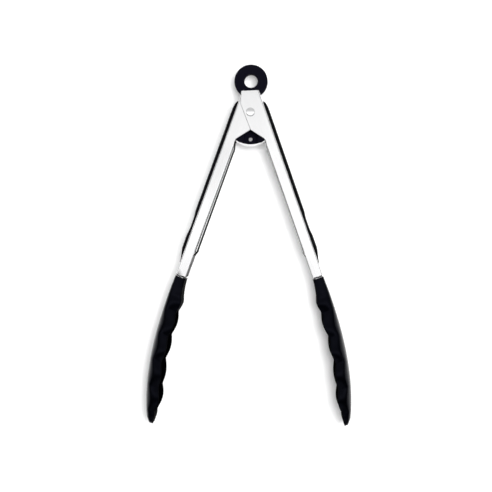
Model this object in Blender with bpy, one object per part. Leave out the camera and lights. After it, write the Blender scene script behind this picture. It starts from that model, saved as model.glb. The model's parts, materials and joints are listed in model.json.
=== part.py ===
"""Spring loaded kitchen tongs, lying flat and open, with the locking tab pushed in.

Two stainless channel arms turn on one rivet. A bowed leaf spring pushes them apart.
The arms lie in the XY plane, the rivet stands along +Z, the hanging ring points to +Y
and the tips to -Y. The origin is the middle of the object's box, on the surface it lies on.

Each arm is drawn in its own space, measured from the rivet's axis:
    along   distance from the rivet towards the tip
    out     distance from the tongs' middle line towards the arm's back
    z       height from the arm's middle plane
"""

import math

import bmesh
import bpy
from mathutils import Vector

MM = 0.001

# Whole object
PIVOT = Vector((0.0, 86.08, 17.0)) * MM
SPLAY = math.radians(19.5)
GAP = 0.3 * MM
SIDES = {"right": 1, "left": -1}

# Channel arms
SHEET = 0.8 * MM
CHANNEL_HALF_WIDTH = 10.0 * MM
SPINE_OUT = 9.8 * MM
CHEEK_EDGE = 3.1 * MM
BEND_RADIUS = 0.9 * MM
LEAST_INNER_RADIUS = 0.05 * MM
BEND_STEPS = 3
LIP_RADIUS = 1.2 * MM
LIP_ANGLE = math.radians(100)
LIP_FLAT = 0.4 * MM
LIP_STEPS = 3
LIP_START = (22.0 * MM, 28.0 * MM)
LIP_END = (96.0 * MM, 101.0 * MM)
NEST_STEP = SHEET + GAP
NEST_RUN = (20.5 * MM, 80.0 * MM)
SPINE_TOP = -8.0 * MM
SPINE_NOTCH_HALF = 6.4 * MM
SHOULDER = (115.7 * MM, 116.7 * MM)
TANG_STEP = 1.1 * MM
TANG_EDGE = 4.3 * MM
TANG_END = 134.0 * MM

# Pivot cheeks: where each edge of the plate meets the back and the inner edge
CHEEK_TOP_BACK = -11.8 * MM
OUTER_CHEEK_TOP = [(-15.1 * MM, -1.2 * MM), (-7.7 * MM, -4.35 * MM)]
INNER_CHEEK_TOP = [(-13.0 * MM, -0.1 * MM), (-9.3 * MM, -3.3 * MM), (-7.5 * MM, -4.1 * MM)]
NOTCH_APEX = (10.9 * MM, -3.8 * MM)
NOTCH_BACK_STEP = 0.2 * MM
NOTCH_CORNER = (19.3 * MM, 2.8 * MM)

# Grips
GRIP_START = -4.4 * MM
GRIP_END = 108.0 * MM
GRIP_HALF_WIDTH = 7.8 * MM
GRIP_HEIGHT = 2.2 * MM
GRIP_CROWN = 0.5 * MM
GRIP_NOSE = 7.0 * MM
GRIP_TAIL = 11.0 * MM
GRIP_EDGE = 0.35 * MM
THUMB_RECESS = (81.0 * MM, 9.0 * MM, 0.55 * MM)

# Scoop heads
HEAD_START = 117.0 * MM
HEAD_END = 214.0 * MM
HEAD_STATIONS = 42
HEAD_ARC_STEPS = 14
HEAD_WALL = 2.2 * MM
NECK_HALF_WIDTH = 10.3 * MM
NECK_BACK = 10.1 * MM
NECK_BACK_RISE = (117.0 * MM, 130.0 * MM)
NECK_DEPTH = 7.1 * MM
NECK_END = 137.0 * MM
SCOOP_HALF_WIDTH = 17.0 * MM
SCOOP_WIDENING = (124.0 * MM, 170.0 * MM)
TIP_WIDTH_RATIO = 0.5
NECK_SQUARENESS = 7.0
SCOOP_SQUARENESS = 2.4
SQUARENESS_RUN = (117.0 * MM, 150.0 * MM)
THINNEST_EDGE = 0.8 * MM
BACK_CURVE = [(136.0, 10.4), (160.0, 10.3), (187.0, 7.2), (210.5, -3.3)]
RIM_CURVE = [(137.0, 0.5), (193.0, -0.6), (177.0, -7.0), (214.0, -8.9)]
TIP_BACK = -6.0 * MM
SCALLOP_PITCH = 16.6 * MM
SCALLOP_NOTCH = 139.5 * MM
SCALLOP_HEIGHT = 0.75 * MM
NOTCH_ROUNDING = 0.006
SCALLOP_FLARE = 0.6 * MM
SCALLOP_START = (126.0 * MM, 134.0 * MM)
SCALLOP_END = (204.0 * MM, 212.0 * MM)
CAVITY_START = 139.0 * MM
CAVITY_END = 211.5 * MM
CAVITY_FLOOR_RUN = 12.0 * MM
CAVITY_STATIONS = 32
CAVITY_LIFT = 0.5 * MM
CAVITY_SIDE_RISE = 1.0 * MM

# Pivot
RIVET_RADIUS = 2.1 * MM
RIVET_HEAD_RADIUS = 2.8 * MM
RIVET_HEAD_HEIGHT = 0.85 * MM
WASHER_RADIUS = 3.6 * MM
WASHER_THICKNESS = 0.5 * MM
BUSHING_RADIUS = 2.9 * MM
ROUND_SEGMENTS = 24

# Pull tab
RING_CENTRE_Y = 21.5 * MM
RING_RADIUS = 11.0 * MM
RING_HOLE_RADIUS = 4.4 * MM
RING_HALF_THICKNESS = 2.2 * MM
RING_CHAMFER = 0.5 * MM
RING_SEGMENTS = 40
TAB_HALF_THICKNESS = 1.5 * MM
SHANK_HALF_WIDTH = 4.9 * MM
FOOT_HALF_WIDTH = 8.7 * MM
FOOT_TOP_Y = -12.0 * MM
FOOT_CORNER = 1.5 * MM
EAR_SPAN = (4.8 * MM, 8.8 * MM)
EAR_TOP_Y = -12.6 * MM
EAR_END_Y = -19.2 * MM
EAR_CORNER = 1.3 * MM
EAR_HALF_HEIGHT = 7.2 * MM
STRIP_WAY_TOP_Y = -17.0 * MM
TAB_TRAVEL = 7.5 * MM
EYE_CENTRE_Y = -16.9 * MM
EYE_RADIUS = 1.3 * MM

# Leaf spring
SPRING_SHEET = 0.5 * MM
SPRING_HALF_WIDTH = 5.0 * MM
SPRING_BOW_Y = -20.9 * MM
SPRING_BOW_RADIUS = 17.6 * MM
SPRING_LEG_START = 20.5 * MM
SPRING_LEG_END = 52.0 * MM
SPRING_BEND_RADIUS = 1.3 * MM
SPRING_BOW_STEPS = 8

CUT_OVERSHOOT = 5.0 * MM


def clear_scene():
    for thing in list(bpy.data.objects):
        bpy.data.objects.remove(thing)


def smooth_step(value, start, end):
    """0 before start, 1 after end, with an S-shaped rise between them."""
    t = min(max((value - start) / (end - start), 0.0), 1.0)
    return t * t * (3.0 - 2.0 * t)


def lerp(a, b, t):
    return a + (b - a) * t


def spread(start, end, steps):
    """Evenly spaced values, both ends included."""
    return [lerp(start, end, i / steps) for i in range(steps + 1)]


def make_material(name, colour, roughness, metallic=0.0):
    material = bpy.data.materials.new(name)
    material.use_nodes = True
    shader = material.node_tree.nodes["Principled BSDF"]
    shader.inputs["Base Color"].default_value = (*colour, 1.0)
    shader.inputs["Roughness"].default_value = roughness
    shader.inputs["Metallic"].default_value = metallic
    return material


def make_object(name, bm, parent, material=None, smooth=False):
    """Turns a bmesh into an object under the given empty, with its faces pointing out."""
    bmesh.ops.recalc_face_normals(bm, faces=bm.faces)
    mesh = bpy.data.meshes.new(name)
    bm.to_mesh(mesh)
    bm.free()
    if smooth:
        mesh.shade_smooth()
        mesh.set_sharp_from_angle(angle=math.radians(35))
    thing = bpy.data.objects.new(name, mesh)
    bpy.context.scene.collection.objects.link(thing)
    thing.parent = parent
    if material is not None:
        mesh.materials.append(material)
    return thing


def make_cutter(name, bm, parent):
    cutter = make_object(name, bm, parent)
    cutter.hide_render = True
    cutter.display_type = "WIRE"
    return cutter


def add_boolean(thing, operation, other):
    modifier = thing.modifiers.new(other.name, "BOOLEAN")
    modifier.operation = operation
    modifier.solver = "EXACT"
    modifier.object = other


def make_empty(name, parent=None, location=(0.0, 0.0, 0.0), turn=0.0):
    empty = bpy.data.objects.new(name, None)
    bpy.context.scene.collection.objects.link(empty)
    empty.parent = parent
    empty.location = location
    empty.rotation_euler.z = turn
    return empty


def skin(rings):
    """Joins rings of equal point count with quads and closes both ends."""
    bm = bmesh.new()
    loops = [[bm.verts.new(point) for point in ring] for ring in rings]
    count = len(rings[0])
    for first, second in zip(loops, loops[1:]):
        for i in range(count):
            j = (i + 1) % count
            bm.faces.new((first[i], first[j], second[j], second[i]))
    bm.faces.new(loops[0])
    bm.faces.new(loops[-1])
    return bm


def plate(outline, low, high):
    """Extrudes a flat outline of (x, y) points between two heights."""
    return skin([[(x, y, z) for x, y in outline] for z in (low, high)])


def lathe(profile, centre=(0.0, 0.0), segments=ROUND_SEGMENTS, closed=False):
    """Turns (radius, z) points about a vertical axis. A radius of 0 is a pole."""
    bm = bmesh.new()
    rows = []
    for radius, z in profile:
        if radius == 0:
            rows.append([bm.verts.new((centre[0], centre[1], z))])
            continue
        row = []
        for i in range(segments):
            angle = math.tau * i / segments
            x = centre[0] + radius * math.cos(angle)
            y = centre[1] + radius * math.sin(angle)
            row.append(bm.verts.new((x, y, z)))
        rows.append(row)
    pairs = list(zip(rows, rows[1:]))
    if closed:
        pairs.append((rows[-1], rows[0]))
    for first, second in pairs:
        for i in range(segments):
            j = (i + 1) % segments
            corners = [first[i % len(first)], first[j % len(first)]]
            corners += [second[j % len(second)], second[i % len(second)]]
            bm.faces.new(list(dict.fromkeys(corners)))
    return bm


def cylinder(radius, low, high, centre=(0.0, 0.0), segments=ROUND_SEGMENTS):
    profile = [(0, low), (radius, low), (radius, high), (0, high)]
    return lathe(profile, centre, segments)


def arm_point(side, along, out, z):
    return Vector((side * out, -along, z))


def arc(centre, radius, start, end, steps):
    """(x, y) points on a circle, angles in radians, both ends included."""
    points = []
    for i in range(steps + 1):
        angle = lerp(start, end, i / steps)
        points.append((centre[0] + radius * math.cos(angle), centre[1] + radius * math.sin(angle)))
    return points


def bezier(points, t):
    a, b, c, d = (Vector(p) for p in points)
    s = 1.0 - t
    return a * s**3 + b * (3 * s * s * t) + c * (3 * s * t * t) + d * t**3


def bezier_height(points, along):
    """The second coordinate, in metres, where a Bezier curve given in millimetres passes along."""
    low, high = 0.0, 1.0
    for _ in range(30):
        middle = (low + high) / 2
        if bezier(points, middle).x * MM < along:
            low = middle
        else:
            high = middle
    return bezier(points, low).y * MM


# Channel arms


def half_channel_path(edge, lip_weight, spine, half_width, radius):
    """The sheet's middle line in (out, z), from the cheek's inner edge to the back, with normals."""
    path = []
    length = lerp(LIP_FLAT, LIP_RADIUS * LIP_ANGLE, lip_weight)
    turn = LIP_ANGLE * lip_weight
    z_cheek = half_width - SHEET / 2
    out, z, heading = edge, z_cheek, 0.0
    lip = [(out, z, 0.0)]
    for _ in range(LIP_STEPS):
        step = length / LIP_STEPS
        heading += turn / LIP_STEPS
        middle = heading - turn / LIP_STEPS / 2
        out -= step * math.cos(middle)
        z -= step * math.sin(middle)
        lip.append((out, z, heading))
    for out, z, heading in reversed(lip):
        path.append((out, z, -math.sin(heading), math.cos(heading)))
    centre_out = spine - SHEET / 2 - radius
    centre_z = z_cheek - radius
    for i in range(BEND_STEPS + 1):
        angle = lerp(math.pi / 2, 0.0, i / BEND_STEPS)
        normal = (math.cos(angle), math.sin(angle))
        path.append((centre_out + radius * normal[0], centre_z + radius * normal[1], *normal))
    return path


def channel_section(edge, lip_weight, spine, half_width, thickness):
    """A closed (out, z) loop round the channel's sheet, upper cheek first."""
    radius = max(BEND_RADIUS - SHEET / 2, thickness / 2 + LEAST_INNER_RADIUS)
    upper = half_channel_path(edge, lip_weight, spine, half_width, radius)
    lower = [(out, -z, nx, -nz) for out, z, nx, nz in reversed(upper)]
    path = upper + lower
    outside = [(out + nx * thickness / 2, z + nz * thickness / 2) for out, z, nx, nz in path]
    inside = [(out - nx * thickness / 2, z - nz * thickness / 2) for out, z, nx, nz in path]
    return outside + inside[::-1]


def nest_shift(along, z):
    """Moves the inner arm's cheeks in so that they fit between the outer arm's."""
    weight = 1.0 - smooth_step(along, *NEST_RUN)
    reach = min(abs(z) / (CHANNEL_HALF_WIDTH - SHEET - BEND_RADIUS), 1.0)
    return -math.copysign(NEST_STEP * weight * reach, z)


def channel_ring(side, station, nested, thickness):
    """One ring of points across the channel. A slanted station follows a slanted edge."""
    back, (inner, edge), lip_weight, tang = station
    spine = SPINE_OUT - TANG_STEP * tang
    half_width = CHANNEL_HALF_WIDTH - TANG_STEP * tang
    sheet_edge = edge + LIP_FLAT
    slope = (inner - back) / (SPINE_OUT - edge)
    ring = []
    for out, z in channel_section(sheet_edge, lip_weight, spine, half_width, thickness):
        along = back + slope * (SPINE_OUT - out)
        if nested:
            z += nest_shift(along, z)
        ring.append(arm_point(side, along, out, z))
    return ring


def lip_weight_at(along):
    return smooth_step(along, *LIP_START) * (1.0 - smooth_step(along, *LIP_END))


def arm_stations(nested):
    """(back, (inner, edge), lip weight, tang) from the cheeks' top to the tang's end."""
    top = INNER_CHEEK_TOP if nested else OUTER_CHEEK_TOP
    backs = [lerp(CHEEK_TOP_BACK, top[-1][0], i / (len(top) - 1)) for i in range(len(top))]
    stations = [(back, corner, 0.0, 0.0) for back, corner in zip(backs, top)]
    for corner in (NOTCH_APEX, NOTCH_CORNER):
        stations.append((corner[0] + NOTCH_BACK_STEP, corner, 0.0, 0.0))
    handle = spread(*LIP_START, 4)
    handle += spread(LIP_START[1], LIP_END[0], 6)[1:-1]
    handle += spread(*LIP_END, 4)
    handle.append(SHOULDER[0])
    for along in handle:
        stations.append((along, (along, CHEEK_EDGE), lip_weight_at(along), 0.0))
    for along in (SHOULDER[1], TANG_END):
        stations.append((along, (along, TANG_EDGE), 0.0, 1.0))
    return stations


def make_arm(name, side, hinge, material):
    nested = name == "left"
    rings = [channel_ring(side, s, nested, SHEET) for s in arm_stations(nested)]
    arm = make_object(f"{name}_arm", skin(rings), hinge, material, smooth=True)
    hole = cylinder(RIVET_RADIUS + GAP, -2 * CHANNEL_HALF_WIDTH, 2 * CHANNEL_HALF_WIDTH)
    add_boolean(arm, "DIFFERENCE", make_cutter(f"{name}_rivet_hole", hole, hinge))
    near = SPINE_OUT - BEND_RADIUS - SHEET
    far = SPINE_OUT + CUT_OVERSHOOT
    top = CHEEK_TOP_BACK - CUT_OVERSHOOT
    corners = [(SPINE_TOP, near), (SPINE_TOP, far), (top, far), (top, near)]
    outline = [arm_point(side, along, out, 0.0).xy for along, out in corners]
    notch = plate(outline, -SPINE_NOTCH_HALF, SPINE_NOTCH_HALF)
    add_boolean(arm, "DIFFERENCE", make_cutter(f"{name}_spine_notch", notch, hinge))
    return arm


# Grips


def grip_height(along):
    """How far the grip's middle stands off the arm's back."""
    nose = min((along - GRIP_START) / GRIP_NOSE, 1.0)
    rise = math.sqrt(max(1.0 - (1.0 - nose) ** 2, 0.0))
    fall = smooth_step(GRIP_END - along, 0.0, GRIP_TAIL)
    centre, half_length, depth = THUMB_RECESS
    recess = depth * (1.0 - smooth_step(abs(along - centre), 0.4 * half_length, half_length))
    return GRIP_EDGE + (GRIP_HEIGHT - recess - GRIP_EDGE) * rise * fall


def grip_ring(side, along):
    height = grip_height(along)
    share = height / GRIP_HEIGHT
    half_width = GRIP_HALF_WIDTH * (0.82 + 0.18 * share)
    low = SPINE_OUT + GAP
    section = [(low, -half_width), (low + 0.6 * height * (1 - 0.25 * share), -half_width)]
    for i in range(-3, 4):
        z = half_width * 0.88 * i / 3
        crown = GRIP_CROWN * share * (i / 3) ** 2
        section.append((low + height - crown, z))
    section.append((section[1][0], half_width))
    section.append((low, half_width))
    return [arm_point(side, along, out, z) for out, z in section]


def make_grip(name, side, hinge, material):
    length = GRIP_END - GRIP_START
    nose = [GRIP_START + GRIP_NOSE * x for x in (0.0, 0.12, 0.35, 0.7, 1.0)]
    centre, half_length, _ = THUMB_RECESS
    recess = [centre + half_length * x for x in (-1.0, -0.7, -0.4, 0.4, 0.7, 1.0)]
    tail = [GRIP_END - GRIP_TAIL * x for x in (1.0, 0.75, 0.5, 0.25, 0.0)]
    middle = [GRIP_START + length * x for x in (0.25, 0.45)]
    rings = [grip_ring(side, along) for along in nose + middle + recess + tail]
    return make_object(f"{name}_grip", skin(rings), hinge, material, smooth=True)


# Scoop heads


def scallop(along):
    """1 on a scallop's crest and -1 in the notch between two, fading out at neck and tip."""
    fade = smooth_step(along, *SCALLOP_START) * (1.0 - smooth_step(along, *SCALLOP_END))
    wave = math.sin(math.pi * (along - SCALLOP_NOTCH) / SCALLOP_PITCH)
    return fade * (2.0 * math.sqrt(wave * wave + NOTCH_ROUNDING) - 1.0)


def head_back(along):
    if along <= BACK_CURVE[0][0] * MM:
        return lerp(NECK_BACK, BACK_CURVE[0][1] * MM, smooth_step(along, *NECK_BACK_RISE))
    tip_start = BACK_CURVE[-1][0] * MM
    if along >= tip_start:
        return lerp(BACK_CURVE[-1][1] * MM, TIP_BACK, (along - tip_start) / (HEAD_END - tip_start))
    return bezier_height(BACK_CURVE, along)


def head_rim(along):
    neck = NECK_BACK - NECK_DEPTH
    if along < NECK_END:
        base = lerp(neck, RIM_CURVE[0][1] * MM, smooth_step(along, HEAD_START, NECK_END))
    else:
        base = bezier_height(RIM_CURVE, along)
    return base - SCALLOP_HEIGHT * scallop(along)


def head_half_width(along):
    widest = SCOOP_WIDENING[1]
    if along < widest:
        return lerp(NECK_HALF_WIDTH, SCOOP_HALF_WIDTH, smooth_step(along, *SCOOP_WIDENING))
    t = (along - widest) / (HEAD_END - widest)
    return SCOOP_HALF_WIDTH * math.sqrt(1.0 - (1.0 - TIP_WIDTH_RATIO**2) * t * t)


def head_squareness(along):
    return lerp(NECK_SQUARENESS, SCOOP_SQUARENESS, smooth_step(along, *SQUARENESS_RUN))


def arch(rim, back, half_width, squareness, flare=0.0):
    """(out, z) points from one rim over the back to the other, on a superellipse."""
    points = []
    for i in range(HEAD_ARC_STEPS + 1):
        angle = lerp(-math.pi / 2, math.pi / 2, i / HEAD_ARC_STEPS)
        depth = abs(math.cos(angle)) ** (2.0 / squareness)
        across = abs(math.sin(angle)) ** (2.0 / squareness)
        width = half_width + flare * (1.0 - depth)
        points.append((lerp(rim, back, depth), math.copysign(width * across, angle)))
    return points


def rim_flare(along):
    """How far the rim stands out sideways: not at all on a crest, and inwards between two."""
    return SCALLOP_FLARE * (scallop(along) - 1.0) / 2


def head_ring(side, along):
    rim = head_rim(along)
    back = max(head_back(along), rim + THINNEST_EDGE)
    section = arch(rim, back, head_half_width(along), head_squareness(along), rim_flare(along))
    return [arm_point(side, along, out, z) for out, z in section]


def cavity_ring(side, along):
    """The scoop's inside. It runs out past the rim, and is shallow at both of its ends."""
    rim = head_rim(along)
    run_in = smooth_step(along, CAVITY_START, CAVITY_START + CAVITY_FLOOR_RUN)
    run_out = 1.0 - smooth_step(along, CAVITY_END - CAVITY_FLOOR_RUN, CAVITY_END)
    floor = lerp(rim - CAVITY_LIFT, head_back(along) - HEAD_WALL, run_in * run_out)
    half_width = head_half_width(along) - HEAD_WALL
    section = arch(rim - CAVITY_SIDE_RISE, floor, half_width, head_squareness(along), rim_flare(along))
    mouth = [(rim - CUT_OVERSHOOT, z) for out, z in (section[-1], section[0])]
    return [arm_point(side, along, out, z) for out, z in section + mouth]


def make_head(name, side, hinge, material):
    stations = spread(HEAD_START, HEAD_END, HEAD_STATIONS)
    rings = [head_ring(side, along) for along in stations]
    head = make_object(f"{name}_head", skin(rings), hinge, material, smooth=True)
    cuts = spread(CAVITY_START, CAVITY_END, CAVITY_STATIONS)
    cavity = skin([cavity_ring(side, along) for along in cuts])
    add_boolean(head, "DIFFERENCE", make_cutter(f"{name}_head_cavity", cavity, hinge))
    ends = (SHOULDER[1] - CUT_OVERSHOOT, TANG_END + GAP)
    pocket_edge = TANG_EDGE - GAP
    stations = [(along, (along, pocket_edge), 0.0, 1.0) for along in ends]
    pocket = skin([channel_ring(side, s, False, SHEET + 2 * GAP) for s in stations])
    add_boolean(head, "DIFFERENCE", make_cutter(f"{name}_tang_pocket", pocket, hinge))
    return head


# Pivot, tab and spring


def make_rivet(root, material):
    top = CHANNEL_HALF_WIDTH + GAP
    tail = -top - WASHER_THICKNESS - GAP
    dome = []
    for i in range(5):
        angle = math.pi / 2 * i / 4
        dome.append((RIVET_HEAD_RADIUS * math.cos(angle), RIVET_HEAD_HEIGHT * math.sin(angle)))
    dome[-1] = (0, RIVET_HEAD_HEIGHT)
    profile = [(radius, tail - height) for radius, height in reversed(dome)]
    profile += [(RIVET_RADIUS, tail), (RIVET_RADIUS, top)]
    profile += [(radius, top + height) for radius, height in dome]
    make_object("pivot_rivet", lathe(profile), root, material, smooth=True)


def make_tube(name, inner, outer, low, high, root, material):
    profile = [(inner, low), (outer, low), (outer, high), (inner, high)]
    make_object(name, lathe(profile, closed=True), root, material, smooth=True)


def bow_y(x):
    return SPRING_BOW_Y + x * x / (2 * SPRING_BOW_RADIUS)


def foot_edge_y(x):
    """The foot's lower edge follows the spring's bow."""
    return bow_y(x) + SPRING_SHEET / 2 + 1.5 * GAP


def tab_outline():
    """One closed outline: shank top, shank side, foot, and the other side mirrored."""
    shank_top = RING_CENTRE_Y - (RING_RADIUS + RING_HOLE_RADIUS) / 2
    half = [(SHANK_HALF_WIDTH, shank_top), (SHANK_HALF_WIDTH, FOOT_TOP_Y)]
    corner = (FOOT_HALF_WIDTH - FOOT_CORNER, FOOT_TOP_Y - FOOT_CORNER)
    half += arc(corner, FOOT_CORNER, math.pi / 2, 0.0, 3)
    for i in range(6):
        x = FOOT_HALF_WIDTH * (1.0 - i / 6)
        half.append((x, foot_edge_y(x)))
    middle = [(0.0, foot_edge_y(0.0))]
    return half + middle + [(-x, y) for x, y in reversed(half)]


def rectangle(side, near, far, low, high):
    return [(side * near, low), (side * far, low), (side * far, high), (side * near, high)]


def ear_outline(side):
    """A foot ear from above, its lower outer corner cut off."""
    near, far = EAR_SPAN
    points = [
        (near, EAR_TOP_Y),
        (far, EAR_TOP_Y),
        (far, EAR_END_Y + EAR_CORNER),
        (far - EAR_CORNER, EAR_END_Y),
        (near, EAR_END_Y),
    ]
    return [(side * x, y) for x, y in points]


def make_foot_ear(name, side, tab_axis):
    """A thick end of the foot that straddles the spring's strip."""
    near, far = EAR_SPAN
    block = plate(ear_outline(side), -EAR_HALF_HEIGHT, EAR_HALF_HEIGHT)
    ear = make_cutter(f"{name}_foot_ear", block, tab_axis)
    way_half = SPRING_HALF_WIDTH + GAP
    outline = rectangle(side, near - GAP, far + GAP, EAR_END_Y - GAP, STRIP_WAY_TOP_Y)
    way = make_cutter(f"{name}_strip_way", plate(outline, -way_half, way_half), tab_axis)
    add_boolean(ear, "DIFFERENCE", way)
    return ear


def make_pull_tab(tab_axis, material):
    h = RING_HALF_THICKNESS
    c = RING_CHAMFER
    profile = [
        (RING_HOLE_RADIUS, -h + c),
        (RING_HOLE_RADIUS + c, -h),
        (RING_RADIUS - c, -h),
        (RING_RADIUS, -h + c),
        (RING_RADIUS, h - c),
        (RING_RADIUS - c, h),
        (RING_HOLE_RADIUS + c, h),
        (RING_HOLE_RADIUS, h - c),
    ]
    ring = lathe(profile, (0.0, RING_CENTRE_Y), RING_SEGMENTS, closed=True)
    tab = make_object("pull_tab", ring, tab_axis, material, smooth=True)
    thick = TAB_HALF_THICKNESS
    shank = make_cutter("pull_tab_shank", plate(tab_outline(), -thick, thick), tab_axis)
    add_boolean(tab, "UNION", shank)
    for name, side in SIDES.items():
        add_boolean(tab, "UNION", make_foot_ear(name, side, tab_axis))
    slot_radius = BUSHING_RADIUS + GAP
    slot = arc((0.0, 0.0), slot_radius, 0.0, math.pi, 8)
    slot += arc((0.0, -TAB_TRAVEL), slot_radius, math.pi, math.tau, 8)
    slot_cut = make_cutter("pull_tab_slot", plate(slot, -2 * thick, 2 * thick), tab_axis)
    add_boolean(tab, "DIFFERENCE", slot_cut)
    eye = cylinder(EYE_RADIUS, -2 * thick, 2 * thick, (0.0, EYE_CENTRE_Y))
    add_boolean(tab, "DIFFERENCE", make_cutter("pull_tab_eye", eye, tab_axis))


def leg_point(along, out):
    """A point given in the right arm's space, turned to where the open arm holds it."""
    x = math.sin(SPLAY) * along + math.cos(SPLAY) * out
    y = -math.cos(SPLAY) * along + math.sin(SPLAY) * out
    return Vector((x, y))


def spring_path():
    """The right half of the strip's middle line: bow, tight bend and leg."""
    leg_out = SPINE_OUT - SHEET - GAP - SPRING_SHEET / 2
    leg_top = leg_point(SPRING_LEG_START, leg_out)
    leg_end = leg_point(SPRING_LEG_END, leg_out)
    down = (leg_end - leg_top).normalized()
    inward = Vector((down.y, -down.x))
    if inward.x > 0:
        inward = -inward
    centre = leg_top + inward * SPRING_BEND_RADIUS
    bow_end = centre.x - 1.2 * SPRING_BEND_RADIUS
    bow = []
    for i in range(SPRING_BOW_STEPS + 1):
        x = bow_end * i / SPRING_BOW_STEPS
        bow.append(Vector((x, bow_y(x))))
    bend = []
    start = math.atan2(-inward.y, -inward.x)
    rise = math.atan2(bow_end, SPRING_BOW_RADIUS)
    for i in range(5):
        angle = lerp(math.pi / 2 + rise, start, i / 4)
        offset = Vector((math.cos(angle), math.sin(angle))) * SPRING_BEND_RADIUS
        bend.append(centre + offset)
    return bow + bend + [leg_end]


def offset_path(path, distance):
    """The path moved sideways, along the mean of the normals on either side of each point."""
    moved = []
    for i, point in enumerate(path):
        before = path[max(i - 1, 0)]
        after = path[min(i + 1, len(path) - 1)]
        tangent = (after - before).normalized()
        moved.append(point + Vector((-tangent.y, tangent.x)) * distance)
    return moved


def make_spring(root, material):
    right = spring_path()
    left = [Vector((-p.x, p.y)) for p in reversed(right[1:])]
    path = left + right
    half = SPRING_SHEET / 2
    outline = offset_path(path, half) + offset_path(path, -half)[::-1]
    strip = plate([tuple(p) for p in outline], -SPRING_HALF_WIDTH, SPRING_HALF_WIDTH)
    make_object("leaf_spring", strip, root, material, smooth=True)


def build():
    clear_scene()
    steel = make_material("stainless", (0.78, 0.78, 0.79), 0.3, 1.0)
    bright = make_material("spring_steel", (0.7, 0.7, 0.72), 0.2, 1.0)
    rubber = make_material("grip_rubber", (0.012, 0.012, 0.014), 0.6)
    nylon = make_material("head_nylon", (0.01, 0.011, 0.015), 0.42)
    plastic = make_material("tab_plastic", (0.011, 0.011, 0.016), 0.45)
    sleeve = make_material("bushing_plastic", (0.6, 0.6, 0.58), 0.5)

    root = make_empty("pivot", location=PIVOT)
    tab_axis = make_empty("tab_axis", root)
    for name, side in SIDES.items():
        hinge = make_empty(f"{name}_hinge", root, turn=side * SPLAY)
        make_arm(name, side, hinge, steel)
        make_grip(name, side, hinge, rubber)
        make_head(name, side, hinge, nylon)

    make_rivet(root, bright)
    washer_top = -CHANNEL_HALF_WIDTH - GAP
    washer_low = washer_top - WASHER_THICKNESS
    washer_hole = RIVET_RADIUS + GAP
    make_tube("rivet_washer", washer_hole, WASHER_RADIUS, washer_low, washer_top, root, bright)
    bushing_half = CHANNEL_HALF_WIDTH - 2 * SHEET - 2 * GAP
    make_tube("pivot_bushing", washer_hole, BUSHING_RADIUS, -bushing_half, bushing_half, root, sleeve)
    make_pull_tab(tab_axis, plastic)
    make_spring(root, bright)


build()
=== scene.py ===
"""Looks of the spring loaded kitchen tongs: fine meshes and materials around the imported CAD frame.

Each arm is drawn in its own space, in millimetres from the rivet's axis:
    along   distance from the rivet towards the tip
    out     distance from the tongs' middle line towards the arm's back
    z       height from the arm's middle plane
An arm's pieces are meshed in that space, and their objects turn them to where the open arm is.
"""

import json
import math

import bmesh
import bpy
from mathutils import Matrix, Vector


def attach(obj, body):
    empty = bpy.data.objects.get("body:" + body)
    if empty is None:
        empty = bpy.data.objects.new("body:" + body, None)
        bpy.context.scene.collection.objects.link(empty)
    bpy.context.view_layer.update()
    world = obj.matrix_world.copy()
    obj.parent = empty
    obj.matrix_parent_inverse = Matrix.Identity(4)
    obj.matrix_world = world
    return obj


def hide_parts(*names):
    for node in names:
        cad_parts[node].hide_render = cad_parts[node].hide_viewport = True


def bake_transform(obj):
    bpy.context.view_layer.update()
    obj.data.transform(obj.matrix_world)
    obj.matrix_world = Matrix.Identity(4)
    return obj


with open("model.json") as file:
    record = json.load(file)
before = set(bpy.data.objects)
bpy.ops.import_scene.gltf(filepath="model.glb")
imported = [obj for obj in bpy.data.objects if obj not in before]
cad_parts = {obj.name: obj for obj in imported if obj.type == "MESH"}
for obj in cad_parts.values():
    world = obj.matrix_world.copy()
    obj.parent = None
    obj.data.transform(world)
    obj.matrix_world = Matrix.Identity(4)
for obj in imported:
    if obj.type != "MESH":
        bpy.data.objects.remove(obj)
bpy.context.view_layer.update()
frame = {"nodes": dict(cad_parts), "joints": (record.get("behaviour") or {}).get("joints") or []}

MM = 0.001

# The rivet's axis, read from the frame
HINGE = next(joint for joint in frame["joints"] if joint["name"] == "left_arm_hinge")
PIVOT = Vector(HINGE["pos_m"])

# Shared by all pieces: how far each arm leans out at rest, and the gap between parts
SPLAY = math.radians(19.5)
SIDES = {"right": 1, "left": -1}
GAP = 0.3

# Channel arms
SHEET = 0.8
CHANNEL_HALF_WIDTH = 10.0
SPINE_OUT = 9.8
CHEEK_EDGE = 3.1
BEND_RADIUS = 0.9
LEAST_INNER_RADIUS = 0.05
LIP_RADIUS = 1.2
LIP_ANGLE = math.radians(100)
LIP_FLAT = 0.4
LIP_START = (22.0, 28.0)
LIP_END = (96.0, 101.0)
NEST_STEP = SHEET + GAP
NEST_RUN = (20.5, 80.0)
SPINE_TOP = -8.0
SPINE_NOTCH_HALF = 6.4
SHOULDER = (115.7, 116.7)
TANG_STEP = 1.1
TANG_EDGE = 4.3
TANG_END = 134.0
CHEEK_TOP_BACK = -11.8
OUTER_CHEEK_TOP = [(-15.1, -1.2), (-7.7, -4.35)]
INNER_CHEEK_TOP = [(-13.0, -0.1), (-9.3, -3.3), (-7.5, -4.1)]
NOTCH_APEX = (10.9, -3.8)
NOTCH_BACK_STEP = 0.2
NOTCH_CORNER = (19.3, 2.8)
BURR = 0.2
EDGE_ROUND = 0.3
EDGE_STEPS = 8
BRUSHED_SLOT = 0
# The inside's slot holds painted shade. The sheared edges' slot holds their partly painted shade and
# also the open inside past the lips.
PAINTED_SHADE_INSIDE_SLOT = 1
SHEARED_AND_PAINTED_SHADE_SLOT = 2

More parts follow.
